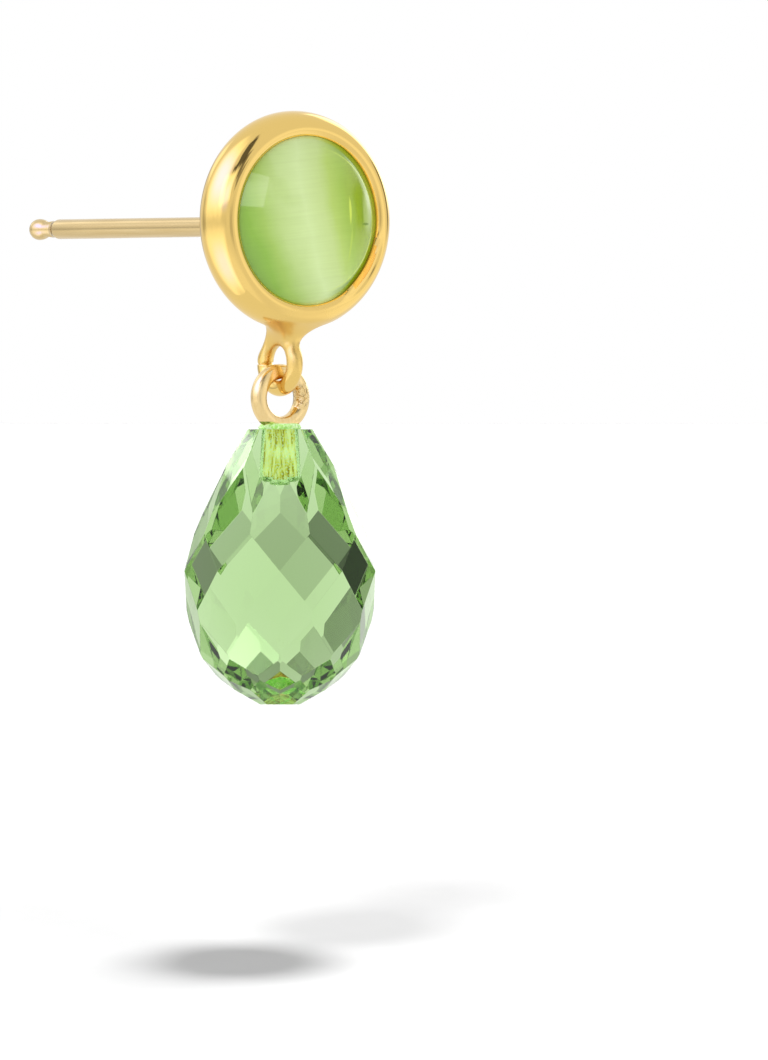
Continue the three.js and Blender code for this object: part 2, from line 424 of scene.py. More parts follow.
def makeBoxes():
    for index, (onto, *angles, colour) in enumerate(softBoxes):
        turn, rise, width, height = [math.radians(angle) for angle in angles]
        level = towardsCamera * math.cos(turn) + viewRight * math.sin(turn)
        outward = level * math.cos(rise) + viewUp * math.sin(rise)
        data = bpy.data.lights.new(onto + "_box", "AREA")
        data.shape = "RECTANGLE"
        data.size = 2 * math.tan(width) * boxDistance * mm
        data.size_y = 2 * math.tan(height) * boxDistance * mm
        data.energy = math.pi * data.size * data.size_y
        data.use_nodes = True
        tree = data.node_tree
        tree.nodes.clear()
        # brightest in the middle, and fading towards its edges
        place = addNode(tree, "NewGeometry").outputs["Parametric"]
        fromMiddle = addNode(tree, "VectorMath", {0: place, 1: (2, 2, 0), 2: (-1, -1, 0)}, **multiplyAdd)
        inside = softWindow(tree, fromMiddle, (1 - 2 * boxSoftness[onto],) * 3, (1, 1, 1))
        glow = addNode(tree, "Emission", {"Color": (*colour, 1), "Strength": inside})
        addNode(tree, "OutputLight", {"Surface": glow})
        lamp = addItem(data.name + str(index), data)
        lamp.location = outward * boxDistance * mm
        lamp.rotation_euler = (-outward).to_track_quat("-Z", "Y").to_euler()
        hideFrom(lamp, "camera", "transmission")
        lamp.light_linking.receiver_collection = boxReceivers[onto]


def makeCard():
    # a white card lies level under the gold: only reflections see it, so the drop doesn't darken them
    material, tree, place = newMaterial("white_card")
    height = dropHigh.z + cardSizes["above"] * mm
    middle = Vector((*cardSizes["underMiddle"], 0)) * mm + Vector((0, 0, height))
    patch = fadeFrom(tree, place, middle, cardSizes["underReach"], cardSizes["underGlow"], 1.0)
    under = addNode(tree, "NewGeometry").outputs["Backfacing"]
    strength = addNode(tree, "Mix", {0: under, 2: 1.0, 3: patch})
    glow = addNode(tree, "Emission", {"Color": (*cardSizes["glow"], 1), "Strength": strength})
    addNode(tree, "OutputMaterial", {"Surface": glow})
    bm = bmesh.new()
    bmesh.ops.create_grid(bm, x_segments=1, y_segments=1, size=cardSizes["reach"] * mm)
    bmesh.ops.translate(bm, verts=bm.verts, vec=(0, 0, height))
    card = addMesh("white_card", bm, [material])
    hideFrom(card, "camera", "diffuse", "transmission", "shadow")


makeFloor()
lightTent()
makeBoxes()
makeCard()
print("camera, floor, light tent, soft boxes and card made")

goldFinish = {
    "colour": "#E5C474",
    "gloss": (0.06, 0.10),  # roughness, least and most
    "satin": 0.28,  # roughness added round the solder joint
    "satinSpan": (1.1, 2.3),  # mm from the joint, where it starts to fade and where it ends
    "joint": (0.6, 2.4),  # mm in front of the pivot, and over the setting's lowest point
    "hazeSize": 0.35,  # mm
    "waveSize": 1.6,  # mm
    "waveHeight": 0.0016,  # mm
}


def matPolishedGold():
    # gold plate over buffed brass: mirror reflections, a fine haze and the slow waves that a buff leaves
    material, tree, place = newMaterial("buffed_gold_plate")
    hazeScale, waveScale = 1 / (goldFinish["hazeSize"] * mm), 1 / (goldFinish["waveSize"] * mm)
    haze = addNode(tree, "TexNoise", {"Vector": place, "Scale": hazeScale, "Detail": 3.0})
    gloss = addNode(tree, "MapRange", {"Value": haze, **between(0.3, 0.7, *goldFinish["gloss"])})
    forward, up = goldFinish["joint"]
    joint = (0, pivot.y - forward * mm, settingLow.z + up * mm)
    satin = fadeFrom(tree, place, joint, goldFinish["satinSpan"], goldFinish["satin"], 0.0)
    polish = addNode(tree, "Math", {0: gloss, 1: satin}, operation="ADD")
    waves = addNode(tree, "TexNoise", {"Vector": place, "Scale": waveScale, "Detail": 1.0})
    height = goldFinish["waveHeight"] * mm
    bump = addNode(tree, "Bump", {"Height": waves, "Distance": height})
    body = {"Base Color": goldFinish["colour"], "Metallic": 1.0, "Roughness": polish, "Normal": bump}
    surface = addNode(tree, "BsdfPrincipled", body)
    addNode(tree, "OutputMaterial", {"Surface": surface})
    return material


# painted reflection: the deep orange stands for gold seen in gold; the file marks are the plate's own
paintedOrangeGold = {
    "bright": "#FFD257",
    "dark": "#F2A83A",
    "fileMarks": 0.25,  # mm
    "wallGlow": 0.3,  # painted glow: stands for light gathered through the stone's edge
}


def matPaintedOrangeGold(name, glow):
    # gold plate that no buff reaches, dull, its deep orange painted to stand for gold reflecting gold: the
    # wall under the lip, and the lip's fold
    material, tree, place = newMaterial(name)
    scale = 1 / (paintedOrangeGold["fileMarks"] * mm)
    marks = addNode(tree, "TexNoise", {"Vector": place, "Scale": scale})
    tones = {6: paintedOrangeGold["bright"], 7: paintedOrangeGold["dark"]}
    tone = addNode(tree, "Mix", {0: marks, **tones}, data_type="RGBA")
    # painted glow in the orange tones
    shine = {"Emission Color": tone, "Emission Strength": glow}
    body = {"Base Color": tone, "Metallic": 0.6, "Roughness": 0.4}
    surface = addNode(tree, "BsdfPrincipled", {**body, **shine})
    addNode(tree, "OutputMaterial", {"Surface": surface})
    return material


wireFinish = {
    "post": ("#DEC796", "#CAAE74"),  # bright and worn, both darker than the eye's: painted shade for the post's dimmer reflections
    "eye": ("#F3DAA4", "#DFC081"),
    "gloss": (0.16, 0.26),
    "grain": (0.12, 2.5),  # mm, across the drawing lines and along them
    "grainHeight": 0.0012,  # mm
}

seamFinish = {
    "right": 0.88,  # mm from the eye's middle, and down from its top
    "front": 0.2,
    "down": 1.2,
    "span": (0.3, 0.5),
    "grain": 0.3,
    "cut": 0.52,
    "cutWidth": 0.03,
    "height": 0.12,
    "colour": "#B08338",
}


def matDrawnWire(name, lengthwise, seam=None):
    # drawn wire, plated and tumbled: a pale satin gold with faint lines along it, granular at a seam
    material, tree, place = newMaterial("drawn_gold_" + name)
    across, along = wireFinish["grain"]
    scale = tuple(1 / ((along if axis == lengthwise else across) * mm) for axis in "XYZ")
    stretched = addNode(tree, "Mapping", {"Vector": place, "Scale": scale})
    grain = addNode(tree, "TexNoise", {"Vector": stretched, "Scale": 1.0, "Detail": 3.0})
    gloss = addNode(tree, "MapRange", {"Value": grain, **between(0.3, 0.7, *wireFinish["gloss"])})
    bright, worn = wireFinish[name]
    tone = addNode(tree, "Mix", {0: grain, 6: bright, 7: worn}, data_type="RGBA")
    height = wireFinish["grainHeight"] * mm
    bump = addNode(tree, "Bump", {"Height": grain, "Distance": height})
    if seam:
        mask = fadeFrom(tree, place, seam, seamFinish["span"], 1.0, 0.0)
        lump = {"Scale": 1 / (seamFinish["grain"] * mm), "Detail": 3.0, "Distortion": 1.2}
        beads = addNode(tree, "TexNoise", {"Vector": place, **lump})
        edge = addNode(tree, "Math", {0: beads, 1: seamFinish["cut"]}, operation="SUBTRACT")
        nearEdge = addNode(tree, "Math", {0: edge}, operation="ABSOLUTE")
        ends = between(0.0, seamFinish["cutWidth"], 1.0, 0.0)
        crack = addNode(tree, "MapRange", {"Value": nearEdge, **ends}, **smoothStep)
        gaps = addNode(tree, "Math", {0: mask, 1: crack}, operation="MULTIPLY")
        tone = addNode(tree, "Mix", {0: gaps, 6: tone, 7: seamFinish["colour"]}, data_type="RGBA")
        lumps = addNode(tree, "Math", {0: mask, 1: beads}, operation="MULTIPLY")
        height = seamFinish["height"] * mm
        bump = addNode(tree, "Bump", {"Height": lumps, "Distance": height, "Normal": bump})
    body = {"Base Color": tone, "Metallic": 1.0, "Roughness": gloss, "Normal": bump}
    surface = addNode(tree, "BsdfPrincipled", body)
    addNode(tree, "OutputMaterial", {"Surface": surface})
    return material


pegFinish = {
    "ribs": (0.09, 0.8),  # mm, across the ribs and along them
    "tones": [(0.34, "#A8901C"), (0.46, "#E9DC62"), (0.58, "#FFFFCC")],
    "sparkle": 0.045,  # mm
    "sparkleHeight": 0.012,  # mm
    "glow": 0.42,  # painted glow: stands for the light that the glass gathers into the glue
}


def matPegGold():
    # the peg's gilt ribs under pale glue, with a painted glow for the light that the glass gathers and the
    # glue scatters
    material, tree, place = newMaterial("gilt_ribs_in_glue")
    across, along = [1 / (size * mm) for size in pegFinish["ribs"]]
    stretched = addNode(tree, "Mapping", {"Vector": place, "Scale": (across, across, along)})
    ribs = addNode(tree, "TexNoise", {"Vector": stretched, "Scale": 1.0})
    tone = addNode(tree, "ValToRGB", {"Fac": ribs}, pegFinish["tones"])
    scale, height = 1 / (pegFinish["sparkle"] * mm), pegFinish["sparkleHeight"] * mm
    sparkle = addNode(tree, "TexNoise", {"Vector": place, "Scale": scale, "Detail": 1.0})
    bump = addNode(tree, "Bump", {"Height": sparkle, "Distance": height})
    # painted glow
    shine = {"Emission Color": tone, "Emission Strength": pegFinish["glow"]}
    body = {"Base Color": tone, "Metallic": 0.1, "Roughness": 0.4, "Normal": bump}
    surface = addNode(tree, "BsdfPrincipled", {**body, **shine})
    addNode(tree, "OutputMaterial", {"Surface": surface})
    return material


# the stone's silk with painted light: a painted sheen band, painted shade higher up and at the right rim,
# and a painted bright arc
stoneSilkAndPaintedLight = {
    "bow": -0.12,  # per mm: how the painted bright band bends with height
    "lean": 0.25,  # and how it leans
    "middle": 0.25,  # mm to the right, where the middle of the tones lies
    "halfSpan": 3.4,  # mm that the tones spread over, either side
    "tones": [
        (0.02, "#70983A"), (0.09, "#7BA33A"), (0.15, "#90B050"), (0.24, "#AAC278"), (0.37, "#BFD493"),
        (0.50, "#B7CD80"), (0.57, "#A9C45C"), (0.65, "#9ABA42"), (0.74, "#92AE1E"), (0.88, "#8BA600"),
    ],
    "fibre": (2.6, 0.075),  # mm, along and across a fibre
    "fibreSlope": 6.0,  # degrees
    "fibreShade": (0.965, 1.025),
    "cloud": 1.3,  # mm
    "cloudShift": 0.5,  # mm
    "dimUpward": -0.045,  # per mm: painted shade, darker higher up
    "arcRadius": 2.66,
    "arcWidth": 0.05,
    "arcSpan": (0.4, 2.0),  # mm to the right, where the painted bright arc and the rim's painted deep green come in
    "arcColour": "#BFD650",
    "rimWidth": 0.12,
    "rimColour": "#6F9410",
}

# painted reflections that the dome's far side shows: mm right and up from the stone's middle, half the
# width and height in mm, colour, and how much of the silk it covers at most
stonePaintedReflections = {
    "paleLens": (2.3, 0.35, 0.36, 0.8, "#B2C873", 0.75),
    "lensEdge": (1.93, 0.3, 0.05, 0.75, "#7F9E18", 0.6),
    "yellowStreak": (1.2, 0.36, 0.07, 0.5, "#C9DE4C", 0.85),
    "greenStreak": (1.42, 0.1, 0.1, 0.9, "#8DB016", 0.5),
    "darkStroke": (2.15, -0.12, 0.24, 0.05, "#66850C", 0.8),
    "lowStreak": (1.3, -0.9, 0.06, 0.6, "#B9D243", 0.5),
}


def matCatsEye():
    # fused glass fibres under a clear polish, with light and shade painted into the colour: the band of
    # light across the silk is a painted sheen, the dome's far edge has a painted thin bright arc, and
    # outside it painted shade makes the green deepest
    material, tree, place = newMaterial("fused_fibre_glass")
    middle = (0, 0, -(stoneLow.z + stoneHigh.z) / 2 / mm)
    local = addNode(tree, "Mapping", {"Vector": place, "Location": middle, "Scale": (1 / mm,) * 3})
    axes = addNode(tree, "SeparateXYZ", {0: local}).outputs

    # the painted sheen band's tones, over a place that bends with height and drifts with the clouds
    clouds = addNode(tree, "TexNoise", {"Vector": local, "Scale": 1 / stoneSilkAndPaintedLight["cloud"]})
    bend = addNode(tree, "Math", {0: axes["Z"], 1: stoneSilkAndPaintedLight["bow"], 2: stoneSilkAndPaintedLight["lean"]}, **multiplyAdd)
    bow = addNode(tree, "Math", {0: axes["Z"], 1: bend, 2: axes["X"]}, **multiplyAdd)
    drift = addNode(tree, "Math", {0: clouds, 1: stoneSilkAndPaintedLight["cloudShift"], 2: bow}, **multiplyAdd)
    left, right = [stoneSilkAndPaintedLight["middle"] + side * stoneSilkAndPaintedLight["halfSpan"] for side in (-1, 1)]
    across = addNode(tree, "MapRange", {"Value": drift, **between(left, right)})
    paintedSheenBand = addNode(tree, "ValToRGB", {"Fac": across}, stoneSilkAndPaintedLight["tones"])

    # the fibres' own light and shade, and painted shade: less light higher up
    along, thin = stoneSilkAndPaintedLight["fibre"]
    slope = math.radians(stoneSilkAndPaintedLight["fibreSlope"])
    lay = {"Rotation": (0, -slope, 0), "Scale": (along, 1.0, thin)}
    laid = addNode(tree, "Mapping", {"Vector": local, **lay}, vector_type="TEXTURE")
    fibres = addNode(tree, "TexNoise", {"Vector": laid, "Scale": 1.0, "Detail": 3.0, "Roughness": 0.6})
    streak = addNode(tree, "MapRange", {"Value": fibres, **between(0.3, 0.7, *stoneSilkAndPaintedLight["fibreShade"])})
    lower = addNode(tree, "Math", {0: axes["Z"], 1: stoneSilkAndPaintedLight["dimUpward"], 2: 1.0}, **multiplyAdd)
    level = addNode(tree, "Math", {0: streak, 1: lower}, operation="MULTIPLY")
    streaked = addNode(tree, "VectorMath", {0: paintedSheenBand, "Scale": level}, operation="SCALE")

    # painted shade and highlight: the deep green rim and the bright arc inside it, on the right side only
    flat = addNode(tree, "CombineXYZ", {0: axes["X"], 2: axes["Z"]})
    reach = addNode(tree, "VectorMath", {0: flat}, operation="LENGTH")
    ends = between(*stoneSilkAndPaintedLight["arcSpan"])
    rightSide = addNode(tree, "MapRange", {"Value": axes["X"], **ends}, **smoothStep)
    arcRadius = stoneSilkAndPaintedLight["arcRadius"]
    ends = between(arcRadius, arcRadius + stoneSilkAndPaintedLight["rimWidth"])
    rim = addNode(tree, "MapRange", {"Value": reach, **ends})
    fromArc = addNode(tree, "Math", {0: reach, 1: arcRadius}, operation="SUBTRACT")
    offArc = addNode(tree, "Math", {0: fromArc}, operation="ABSOLUTE")
    line = addNode(tree, "MapRange", {"Value": offArc, **between(stoneSilkAndPaintedLight["arcWidth"], 0.0)})
    tone = streaked
    for share, colour in (rim, stoneSilkAndPaintedLight["rimColour"]), (line, stoneSilkAndPaintedLight["arcColour"]):
        onRight = addNode(tree, "Math", {0: share, 1: rightSide}, operation="MULTIPLY")
        tone = addNode(tree, "Mix", {0: onRight, 6: tone, 7: colour}, data_type="RGBA")

    # painted reflections and refractions on the dome's far side
    for x, z, halfX, halfZ, colour, most in stonePaintedReflections.values():
        fromReflection = addNode(tree, "VectorMath", {0: flat, 1: (x, 0, z)}, operation="SUBTRACT")
        scaled = addNode(tree, "VectorMath", {0: fromReflection, 1: (halfX, 1, halfZ)}, operation="DIVIDE")
        size = addNode(tree, "VectorMath", {0: scaled}, operation="LENGTH")
        ends = between(0.6, 1.2, most, 0.0)
        share = addNode(tree, "MapRange", {"Value": size, **ends}, **smoothStep)
        tone = addNode(tree, "Mix", {0: share, 6: tone, 7: colour}, data_type="RGBA")
    polish = {"Coat Weight": 1.0, "Coat Roughness": 0.0}
    body = {"Base Color": tone, "Roughness": 0.6, "Specular IOR Level": 0.0}
    surface = addNode(tree, "BsdfPrincipled", {**body, **polish})
    addNode(tree, "OutputMaterial", {"Surface": surface})
    return material


glassFinish = {
    "cut": {
        "surface": "#E5FED6",
        "grain": 500.0,  # in a metre
        "gloss": (0.0, 0.004),  # roughness, least and most
        "clear": 1.0,  # how much of the light still passes at the grain's tops
        "grainHeight": 0.0001,  # mm
        "bends": 1.5,
        "glow": 0.0,
    },
    "drilled": {
        "surface": "#F0FFE8",
        "grain": 14000.0,
        "gloss": (0.02, 0.35),
        "clear": 0.3,
        "grainHeight": 0.004,
        "bends": 1.04,  # glue fills the drilled hole, so its wall hardly bends light
        "glow": 0.3,
    },
    # painted glints that glow on the ground wall
    "speckle": [(0.5, "#000000"), (0.62, "#C4F0B4")],
    "reflections": (0.3, 0.6, 0.2, 1.0),
    "inside": (0.45, 0.67, 0.15, 1.0),
    "density": 100.0,
}


def matGreenGlass(kind):
    # clear green glass, cut and polished flat; where it is drilled it stays ground, and its sparkle is
    # painted glints that glow
    material, tree, place = newMaterial(kind + "_green_glass")
    look = glassFinish[kind]
    grain = addNode(tree, "TexNoise", {"Vector": place, "Scale": look["grain"]})
    gloss = addNode(tree, "MapRange", {"Value": grain, **between(0.45, 0.6, *look["gloss"])})
    speckle = addNode(tree, "ValToRGB", {"Fac": grain}, glassFinish["speckle"])
    clear = addNode(tree, "MapRange", {"Value": grain, **between(0.52, 0.66, 1.0, look["clear"])})
    height = look["grainHeight"] * mm
    bump = addNode(tree, "Bump", {"Height": grain, "Distance": height})
    shine = {"Specular Tint": glassFinish["reflections"], "Roughness": gloss, "Normal": bump}
    # painted glints: the ground wall glows in specks
    glow = {"Emission Color": speckle, "Emission Strength": look["glow"]}
    body = {"Base Color": look["surface"], "IOR": look["bends"], "Transmission Weight": clear}
    surface = addNode(tree, "BsdfPrincipled", {**body, **shine, **glow})
    colour, density = glassFinish["inside"], glassFinish["density"]
    inside = addNode(tree, "VolumeAbsorption", {"Color": colour, "Density": density})
    addNode(tree, "OutputMaterial", {"Surface": surface, "Volume": inside})
    return material


glueFinish = {
    "chips": 0.12,  # mm
    "chipHeight": 0.05,  # mm
    "tones": [(0.35, "#8FCB5C"), (0.5, "#BFF09B"), (0.65, "#E8FFD8")],
    # painted glow, for the glass's light showing through the glue
    "glow": 0.3,
}


def matGlue():
    # clear epoxy that squeezed out of the hole and was chipped: cloudy, and green from the glass under it,
    # with a painted glow
    material, tree, place = newMaterial("squeezed_out_epoxy")
    scale, height = 1 / (glueFinish["chips"] * mm), glueFinish["chipHeight"] * mm
    chips = addNode(tree, "TexNoise", {"Vector": place, "Scale": scale})
    tone = addNode(tree, "ValToRGB", {"Fac": chips}, glueFinish["tones"])
    bump = addNode(tree, "Bump", {"Height": chips, "Distance": height})
    # painted glow
    glow = {"Emission Color": tone, "Emission Strength": glueFinish["glow"]}
    body = {"Base Color": tone, "Roughness": 0.25, "IOR": 1.5, "Transmission Weight": 0.5, "Normal": bump}
    surface = addNode(tree, "BsdfPrincipled", {**body, **glow})
    addNode(tree, "OutputMaterial", {"Surface": surface})
    return material


eyeTop = Vector((0, pivot.y, eyeHigh.z))
eyeSeam = eyeTop + Vector((seamFinish["right"], -seamFinish["front"], -seamFinish["down"])) * mm
polishedGold = matPolishedGold()
wallGoldPaintedOrange = matPaintedOrangeGold("unbuffed_gold_wall_painted_orange", paintedOrangeGold["wallGlow"])
foldGold = matPaintedOrangeGold("folded_gold_lip_painted_orange", 0.0)
postGold = matDrawnWire("post", "Y")
wireGold = matDrawnWire("eye", "Z", eyeSeam)
pegGold = matPegGold()
catsEye = matCatsEye()
cutGlass = matGreenGlass("cut")
drilledGlass = matGreenGlass("drilled")
glue = matGlue()
print("materials made")

bezelSizes = {
    "outerRadius": settingHigh.x / mm,
    "thickness": -settingLow.y / mm,
    "centreHeight": (settingHigh.z - settingHigh.x) / mm,
    "crestRadius": 3.36,
    "lipRadius": 3.095,
    "lipDepth": 0.13,
    "lipEdge": 0.015,
    "lipStart": 0.8,  # of the thickness: what lies in front of it wanders with the lip
    "seat": [(3.15, 0.24), (3.3, 0.36), (3.47, 0.5), (3.55, 0.65)],  # radius, depth under the crest
    "floor": 0.45,
    "floorFillet": 0.2,
    "columns": 64,
    "arcSteps": 8,
    "lipWander": 0.008,
    "lipWaves": [(3, 1, 0.5), (7, 2, 0.3), (13, 0, 0.2)],
    "foldTurn": -34.0,  # degrees from +X, where the lip is folded further over the stone
    "foldWidth": 21.0,
    "foldIn": 0.15,
    "foldRise": 0.2,
    "groove": (3.33, 0.07, 0.11),  # beside the fold: radius, width and depth
    "foldGold": (2.795, 3.29, 0.4),  # where the fold takes the painted orange gold: radius away from it and at it, and depth
    "wallDepth": 0.8,  # how deep the wall under the lip is left unbuffed and painted orange
}

loopSizes = {
    "wireRadius": 0.30,
    "ringRadius": 0.915,
    "columns": 24,
    "sides": 12,
    "seamRows": (-0.07, -0.022, 0.022, 0.07),  # mm from the seam, which has a row of its own
    "seamDepth": 0.3,
    "seamSlope": 14.0,  # degrees
}

solderSizes = {
    "rimTurn": 11.25,  # degrees either side of the bottom, where the rim is opened
    "rimFront": 33.75,  # degrees round the rim's section, forwards and back
    "rimBack": 56.25,
    "loopAlong": 45.0,  # degrees along the wire and round it, where the loop is opened
    "loopRound": 90.0,
    "rows": 3,
    "passes": 8,
    "reach": 2,  # rows of the rim and the loop that are smoothed with them
}


def bezelProfile():
    outer, thick = bezelSizes["outerRadius"], bezelSizes["thickness"]
    crest, lip = bezelSizes["crestRadius"], bezelSizes["lipRadius"]
    floor, fillet = bezelSizes["floor"], bezelSizes["floorFillet"]
    steps = bezelSizes["arcSteps"]
    half = thick / 2
    lipY = bezelSizes["lipDepth"] - thick
    backFlat = outer - half
    pocket = bezelSizes["seat"][-1][0]
    return (
        [(0, 0), (backFlat / 2, 0), (backFlat - fillet, 0)]
        + arc((backFlat, -half), (half, half), 90, 0, steps)
        + arc((crest, -half), (outer - crest, half), 0, -90, steps)[1:]
        + arc((crest, lipY), (crest - lip, bezelSizes["lipDepth"]), -90, -165, steps // 2)[1:]
        + [(lip + bezelSizes["lipEdge"], lipY)]
        + [(radius, depth - thick) for radius, depth in bezelSizes["seat"]]
        + [(pocket, -floor - fillet / 2), (pocket - fillet, -floor), (pocket / 2, -floor), (0, -floor)]
    )


def lipFold(outward):
    # how much of the fold there is in this direction from the stone's middle, from 0 to 1
    turn = math.degrees(math.atan2(outward.z, outward.x))
    away = (turn - bezelSizes["foldTurn"] + 180) % 360 - 180
    return math.exp(-((away / bezelSizes["foldWidth"]) ** 4))


def wanderLip(bm, centre):
    # the lip was pushed over the stone by hand: it wanders a little, and at one side it is folded over
    lip, seat = bezelSizes["lipRadius"], bezelSizes["seat"][1][0]
    grooveRadius, grooveWidth, grooveDepth = bezelSizes["groove"]
    for vert in bm.verts:
        if vert.co.y / mm > -bezelSizes["thickness"] * bezelSizes["lipStart"]:
            continue
        outward = vert.co - centre
        outward.y = 0
        reach = outward.length / mm
        fold = lipFold(outward)
        groove = math.exp(-(((reach - grooveRadius) / grooveWidth) ** 2))
        vert.co.y += grooveDepth * groove * fold * mm
        if reach > seat:
            continue
        wander = unevenness(math.atan2(outward.z, outward.x), bezelSizes["lipWaves"])
        near = 1 - (reach - lip) / (seat - lip)
        push = bezelSizes["lipWander"] * wander - bezelSizes["foldIn"] * fold
        vert.co += outward.normalized() * push * near * mm
        vert.co.y -= bezelSizes["foldRise"] * fold * near * mm


def makeLoop(loopCentre, ringRadius):
    sides = loopSizes["sides"]
    wireRadius = cageRadius(loopSizes["wireRadius"], sides)
    section = arc((0, 0), (wireRadius, wireRadius), 0, 360, sides)[:-1]
    loop = bmesh.new()
    spinRing(loop, loopCentre, (1, 0, 0), ringRadius, section, loopSizes["columns"])

    # where the wire's ends meet, at the back of the loop
    slope = math.radians(loopSizes["seamSlope"])
    seamNormal = Vector((-math.sin(slope), 0, math.cos(slope)))
    for offset in loopSizes["seamRows"]:
        nearby = [face for face in loop.faces if face.calc_center_median().y > loopCentre.y]
        edges = {edge for face in nearby for edge in face.edges}
        corners = {vert for face in nearby for vert in face.verts}
        plane = {"plane_co": loopCentre + seamNormal * offset * mm, "plane_no": seamNormal}
        bmesh.ops.bisect_plane(loop, geom=nearby + list(edges) + list(corners), dist=mm * 1e-4, **plane)
    middle = loopCentre + Vector((0, ringRadius * mm, 0))
    seam = [vert for vert in loop.verts if (vert.co - middle).length < wireRadius * 1.1 * mm]
    seam = [vert for vert in seam if abs(vert.co.z - middle.z) < mm * 1e-3]
    for vert in seam:
        vert.co.z += (vert.co.x - middle.x) * math.tan(slope)
    bmesh.ops.scale(
        loop, verts=seam, vec=(1 - loopSizes["seamDepth"],) * 3, space=Matrix.Translation(-middle)
    )
    print("seam row has", len(seam), "corners")
    return loop


def openPatch(bm, wanted):
    # deletes the faces whose middles, in mm, are wanted, and counts the edges left open
    doomed = [face for face in bm.faces if wanted(face.calc_center_median() / mm)]
    bmesh.ops.delete(bm, geom=doomed, context="FACES")
    return len(openEdges(bm))


def solderLoop(bm, centre):
    # joins the loop to the rim: both are opened, bridged, and smoothed into a fillet
    loopCentre = Vector((0, pivot.y, pivot.z + loopSizes["ringRadius"] * mm))
    ringRadius = cageRadius(loopSizes["ringRadius"], loopSizes["columns"])
    loop = makeLoop(loopCentre, ringRadius)

    def onLoopTop(point):
        fromMiddle = point - loopCentre / mm
        reach = math.hypot(fromMiddle.y, fromMiddle.z)
        alongWire = math.degrees(math.atan2(abs(fromMiddle.y), fromMiddle.z))
        roundWire = math.degrees(math.atan2(abs(fromMiddle.x), reach - ringRadius))
        return alongWire < solderSizes["loopAlong"] and roundWire < solderSizes["loopRound"]

    def onRimBottom(point):
        half = bezelSizes["thickness"] / 2
        fromMiddle = point - centre / mm
        reach = math.hypot(fromMiddle.x, fromMiddle.z)
        turn = math.degrees(math.atan2(abs(fromMiddle.x), -fromMiddle.z))
        back = -half + half * math.sin(math.radians(solderSizes["rimBack"]))
        front = -half - half * math.sin(math.radians(solderSizes["rimFront"]))
        outside = reach > bezelSizes["seat"][-1][0]
        return outside and turn < solderSizes["rimTurn"] and front < point.y < back

    rimEdges, loopEdges = openPatch(bm, onRimBottom), openPatch(loop, onLoopTop)
    print("solder joint bridges", rimEdges, "edges to", loopEdges)
    loopMesh = bpy.data.meshes.new("loop")
    loop.to_mesh(loopMesh)
    loop.free()
    bm.from_mesh(loopMesh)
    bpy.data.meshes.remove(loopMesh)
    bridge = bmesh.ops.bridge_loops(bm, edges=openEdges(bm))
    rows = bmesh.ops.subdivide_edges(
        bm, edges=bridge["edges"], cuts=solderSizes["rows"], use_grid_fill=True
    )
    soft = set(ofKind(rows["geom_inner"], bmesh.types.BMVert))
    for _ in range(solderSizes["reach"]):
        soft |= {edge.other_vert(vert) for vert in soft for edge in vert.link_edges}
    for _ in range(solderSizes["passes"]):
        bmesh.ops.smooth_vert(
            bm, verts=list(soft), factor=0.5, use_axis_x=True, use_axis_y=True, use_axis_z=True
        )


def makeSetting():
    centre = Vector((0, 0, bezelSizes["centreHeight"])) * mm
    bm = bmesh.new()
    spinProfile(bm, bezelProfile(), centre, (0, 1, 0), bezelSizes["columns"])
    wanderLip(bm, centre)
    solderLoop(bm, centre)
    shadeSmooth(bm)
    # the wall under the lip and the lip's fold take the gold with painted orange
    inner, outer, foldDepth = bezelSizes["foldGold"]
    for face in bm.faces:
        outward = face.calc_center_median() - centre
        depth, outward.y = outward.y / mm + bezelSizes["thickness"], 0
        inwardFacing = face.normal.dot(outward.normalized()) < -0.5
        underLip = face.normal.y > 0 and outward.length > bezelSizes["lipRadius"] * mm
        inCrest = outward.length < bezelSizes["crestRadius"] * mm
        if inCrest and depth < bezelSizes["wallDepth"] and (inwardFacing or underLip):
            face.material_index = 1
        elif depth < foldDepth and outward.length < (inner + (outer - inner) * lipFold(outward)) * mm:
            face.material_index = 2
    golds = [polishedGold, wallGoldPaintedOrange, foldGold]
    piece = addPiece("gilt_setting", bm, golds, "setting", "setting", "gold")
    smoothSurface(piece)


postSizes = {
    "radius": 0.365,
    "shoulder": 13.89,
    "shoulderRound": (0.08, 0.12),
    "neckRadius": 0.29,
    "neck": 14.12,
    "neckRound": (0.03, 0.08),
    "ballRadius": 0.39,
    "ballBack": 0.6,
    "fillet": 0.25,
    "bury": 0.1,
    "rows": 6,
    "columns": 48,
}


def makePost():
    radius, neckRadius, ball = postSizes["radius"], postSizes["neckRadius"], postSizes["ballRadius"]
    shoulder, fillet, bury = postSizes["shoulder"], postSizes["fillet"], postSizes["bury"]
    shoulderRound, neckRound = postSizes["shoulderRound"], postSizes["neckRound"]
    ballCentre = (0, settingHigh.y / mm - ball)
    foot, rows = radius + fillet, postSizes["rows"]
    profile = (
        [(0, -bury), (foot, -bury)]
        + arc((foot, fillet), (fillet, fillet), 270, 180, 6)
        + [(radius, fillet + (shoulder - fillet) * i / rows) for i in range(1, rows)]
        + arc((radius - shoulderRound[0], shoulder - shoulderRound[1]), shoulderRound, 0, 60, 4)
        + arc((neckRadius + neckRound[0], postSizes["neck"]), neckRound, 240, 120, 4)
        + arc(ballCentre, (ball, postSizes["ballBack"]), -48, 0, 6)
        + arc(ballCentre, (ball, ball), 0, 90, 8)[1:]
    )
    bm = bmesh.new()
    spinProfile(bm, profile, Vector((0, 0, 0)), (0, 1, 0), postSizes["columns"])
    shadeSmooth(bm)
    addPiece("ear_post", bm, [postGold], "setting", "setting", "gold")


makeSetting()
makePost()
print("setting made")

